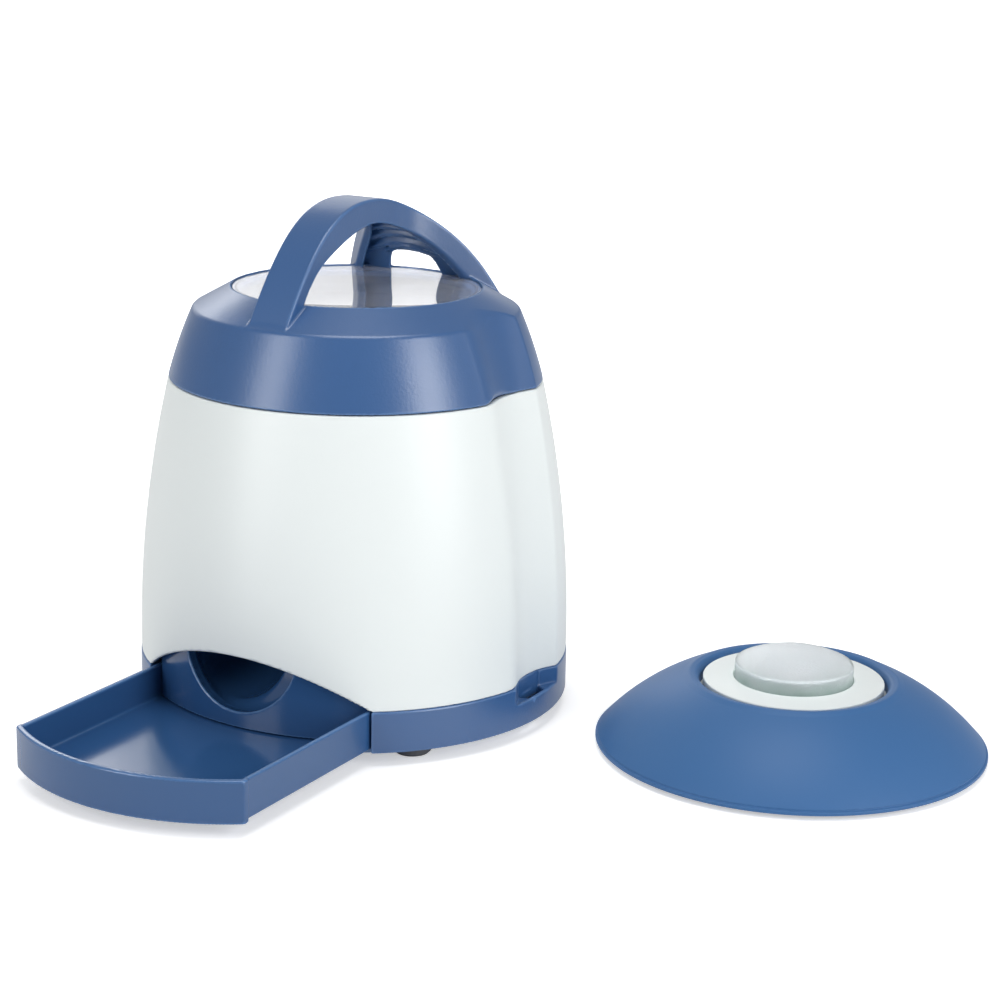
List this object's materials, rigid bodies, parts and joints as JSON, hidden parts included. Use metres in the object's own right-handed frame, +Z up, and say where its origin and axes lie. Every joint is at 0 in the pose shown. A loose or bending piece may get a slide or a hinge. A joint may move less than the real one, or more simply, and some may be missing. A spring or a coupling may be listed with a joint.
{
  "type": "treat_dispenser",
  "caption": "Round treat dispenser with a forked carrying handle, window lid, dosing wheel, chute and pull-out tray, and a domed push-button remote beside it",
  "frame": {"origin": "bottom centre of the box round the dispenser with its tray pulled out and the remote beside it", "axes": "X runs from the dispenser towards the remote, -Y is the way the tray pulls out, Z is up"},
  "size_m": [0.2748, 0.2272, 0.1649],
  "materials": {
    "shell_white": "satin white moulding",
    "body_blue": "satin denim blue moulding with a fine grain",
    "tray_blue": "smooth denim blue moulding",
    "soft_blue": "soft-touch matte blue",
    "clear_window": "clear polished sheet",
    "frosted_lens": "frosted translucent moulding",
    "inner_grey": "plain moulding",
    "gear_white": "natural gear plastic",
    "part_black": "moulded black",
    "board_green": "green circuit board",
    "rubber_grey": "soft rubber",
    "steel": "plain steel",
    "brass": "turned brass",
    "cell_wrap": "wrapped cell"
  },
  "bodies": {
    "dispenser": {"outer_shell": "shell_white", "base_ring": "body_blue", "bottom_cover": "body_blue", "battery_door": "body_blue", "dispenser_feet": "rubber_grey", "case_screws": "steel", "chassis_deck": "inner_grey", "chute_housing": "tray_blue", "hopper": "shell_white", "drop_guard": "body_blue", "idler_pin": "steel", "motor_can": "steel", "gearbox_cover": "inner_grey", "gearbox_screws": "steel", "main_board": "board_green", "board_parts": "part_black", "buzzer": "part_black", "power_switch": "part_black", "battery_box": "inner_grey", "battery_cells": "cell_wrap", "battery_contacts": "steel"},
    "lid": {"lid_cap": "body_blue", "lid_window": "clear_window", "lid_seal": "rubber_grey"},
    "tray": {"tray": "tray_blue"},
    "rotor": {"dosing_rotor": "body_blue", "drive_shaft": "steel", "drive_gear": "gear_white"},
    "idler": {"idler_gear": "gear_white"},
    "motor_spindle": {"motor_shaft": "steel", "motor_pinion": "brass"},
    "power_knob": {"switch_knob": "part_black"},
    "remote": {"remote_skirt": "soft_blue", "remote_case": "shell_white", "remote_base": "body_blue", "remote_feet": "rubber_grey", "remote_screws": "steel", "remote_battery_door": "body_blue", "remote_cells": "cell_wrap", "remote_contacts": "steel", "remote_board": "board_green", "remote_leds": "frosted_lens", "press_switch": "part_black", "button_spring": "steel"},
    "button": {"button_lens": "frosted_lens"},
    "plunger": {"switch_plunger": "gear_white"}
  },
  "joints": [
    {"name": "lid_lift", "type": "slide", "parent": "dispenser", "child": "lid", "axis": [0, 0, 1], "range_m": [0, 0.05]},
    {"name": "tray_slide", "type": "slide", "parent": "dispenser", "child": "tray", "axis": [0, -1, 0], "range_m": [-0.065, 0]},
    {"name": "rotor_spin", "type": "hinge", "parent": "dispenser", "child": "rotor", "pos_m": [-0.06742, 0.02138, 0.06], "axis": [0, 0, 1], "continuous": true},
    {"name": "idler_spin", "type": "hinge", "parent": "dispenser", "child": "idler", "pos_m": [-0.0481, 0.02656, 0.028], "axis": [0, 0, 1], "continuous": true},
    {"name": "motor_spin", "type": "hinge", "parent": "dispenser", "child": "motor_spindle", "pos_m": [-0.03585, 0.03685, 0.032], "axis": [0, 0, 1], "continuous": true},
    {"name": "switch_slide", "type": "slide", "parent": "dispenser", "child": "power_knob", "axis": [1, 0, 0], "range_m": [0, 0.005]},
    {"name": "remote_lift", "type": "slide", "parent": "dispenser", "child": "remote", "axis": [0, 0, 1], "range_m": [0, 0.1]},
    {"name": "button_press", "type": "slide", "parent": "remote", "child": "button", "axis": [0, 0, -1], "range_m": [0, 0.0015], "stiffness_N_per_m": 600, "springref_m": -0.002, "deforming": ["button_spring"]},
    {"name": "plunger_press", "type": "slide", "parent": "remote", "child": "plunger", "axis": [0, 0, -1], "range_m": [0, 0.0015]}
  ],
  "couplings": [
    {"joint": "idler_spin", "follows": "rotor_spin", "ratio": -4},
    {"joint": "motor_spin", "follows": "rotor_spin", "ratio": 12},
    {"joint": "plunger_press", "follows": "button_press", "ratio": 1}
  ]
}
